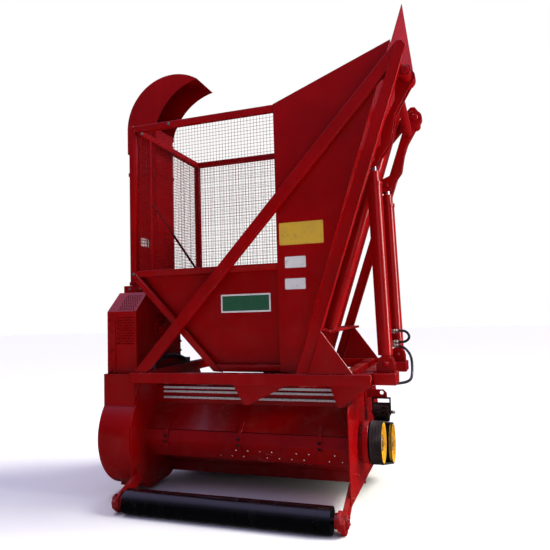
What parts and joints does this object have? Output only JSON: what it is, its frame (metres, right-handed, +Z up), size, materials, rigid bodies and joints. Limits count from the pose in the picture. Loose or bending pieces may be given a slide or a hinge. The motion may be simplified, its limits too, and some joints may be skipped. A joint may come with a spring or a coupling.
{
  "type": "tractor mounted flail forage harvester with side tipping hopper",
  "caption": "Rear mounted flail forage harvester in red paint with a ground roller, blower, discharge duct and a mesh sided hopper that tips sideways on two hydraulic cylinders.",
  "frame": {"origin": "bottom centre of the bounding box", "axes": "+X is the machine's right seen from behind, +Y points forward to the tractor, +Z is up"},
  "size_m": [2.59, 1.828, 3.5762],
  "materials": {
    "red_paint": "gloss red enamel",
    "bare_steel": "worn bare steel",
    "dark_steel": "dark forged steel",
    "cast_housing": "painted casting",
    "belt_rubber": "matt rubber",
    "hose_rubber": "smooth hose cover",
    "black_gloss": "gloss black enamel",
    "pulley_yellow": "yellow enamel",
    "label_paint": "printed sticker, blank",
    "rod_chrome": "hard chrome"
  },
  "bodies": {
    "chassis": {"arch_feet": "bare_steel", "auger_trough": "red_paint", "base_frame": "red_paint", "belt_guard": "red_paint", "blower_casing": "red_paint", "diagonal_braces": "red_paint", "drive_belts": "belt_rubber", "drive_cover": "red_paint", "duct_neck": "red_paint", "foot_brackets": "red_paint", "front_curtain": "belt_rubber", "gearbox": "cast_housing", "hinge_pins": "bare_steel", "hitch": "red_paint", "hood_ribs": "bare_steel", "idler_lug": "red_paint", "idler_yoke": "bare_steel", "left_side_plate": "red_paint", "mast": "red_paint", "neck_bearing": "red_paint", "rail_gussets": "red_paint", "right_side_plate": "red_paint", "roller_arm_left": "red_paint", "roller_arm_right": "red_paint", "rotor_hood": "red_paint", "rubber_arch": "hose_rubber", "skids": "red_paint", "stay_tube": "red_paint", "trough_adjusters": "red_paint"},
    "hopper": {"hopper_frame_near": "red_paint", "hopper_frame_far": "red_paint", "hopper_wall_near": "red_paint", "hopper_wall_far": "red_paint", "hopper_rails": "red_paint", "hopper_belly": "red_paint", "mesh_near": "red_paint", "mesh_far": "red_paint", "mesh_left": "red_paint", "lever_near": "red_paint", "lever_far": "red_paint", "lever_tie": "red_paint", "discharge_duct": "red_paint", "gooseneck": "red_paint", "duct_spacers": "red_paint", "gas_strut": "hose_rubber", "strut_lugs": "red_paint", "label_plates": "label_paint"},
    "roller": {"rear_roller": "black_gloss"},
    "rotor": {"flail_rotor": "dark_steel", "rotor_pulley": "pulley_yellow"},
    "auger": {"auger_shaft": "dark_steel", "auger_pulley": "pulley_yellow"},
    "idler": {"idler_roller": "bare_steel"},
    "cylinder_barrel_near": {"barrel_near": "red_paint"},
    "cylinder_barrel_far": {"barrel_far": "red_paint"},
    "cylinder_rod_near": {"rod_near": "rod_chrome"},
    "cylinder_rod_far": {"rod_far": "rod_chrome"}
  },
  "joints": [
    {"name": "hopper_tip", "type": "hinge", "parent": "chassis", "child": "hopper", "pos_m": [1.233, 0.042, 3.07], "axis": [0, 1, 0], "range_deg": [0, 100]},
    {"name": "roller_spin", "type": "hinge", "parent": "chassis", "child": "roller", "pos_m": [-0.085, -0.826, 0.088], "axis": [1, 0, 0], "continuous": true},
    {"name": "rotor_spin", "type": "hinge", "parent": "chassis", "child": "rotor", "pos_m": [-0.085, 0.374, 0.31], "axis": [1, 0, 0], "continuous": true},
    {"name": "auger_spin", "type": "hinge", "parent": "chassis", "child": "auger", "pos_m": [-0.085, -0.236, 0.453], "axis": [1, 0, 0], "continuous": true},
    {"name": "idler_spin", "type": "hinge", "parent": "chassis", "child": "idler", "pos_m": [0.899, 0.054, 0.62382], "axis": [1, 0, 0], "continuous": true},
    {"name": "barrel_swing_near", "type": "hinge", "parent": "chassis", "child": "cylinder_barrel_near", "pos_m": [1.003, -0.401, 1.045], "axis": [0, 1, 0], "range_deg": [-5.38, 0]},
    {"name": "rod_slide_near", "type": "slide", "parent": "cylinder_barrel_near", "child": "cylinder_rod_near", "axis": [-0.0233, 0, 0.9997], "range_m": [0, 0.93916]},
    {"name": "barrel_swing_far", "type": "hinge", "parent": "chassis", "child": "cylinder_barrel_far", "pos_m": [1.003, 0.449, 1.045], "axis": [0, 1, 0], "range_deg": [-5.38, 0]},
    {"name": "rod_slide_far", "type": "slide", "parent": "cylinder_barrel_far", "child": "cylinder_rod_far", "axis": [-0.0233, 0, 0.9997], "range_m": [0, 0.93916]}
  ],
  "couplings": [
    {"joint": "auger_spin", "follows": "rotor_spin", "ratio": 1.0784},
    {"joint": "idler_spin", "follows": "rotor_spin", "ratio": -2.2917},
    {"joint": "barrel_swing_near", "follows": "hopper_tip", "ratio": -0.053807},
    {"joint": "rod_slide_near", "follows": "hopper_tip", "m_per_rad": 0.5381},
    {"joint": "barrel_swing_far", "follows": "hopper_tip", "ratio": -0.053807},
    {"joint": "rod_slide_far", "follows": "hopper_tip", "m_per_rad": 0.5381}
  ]
}
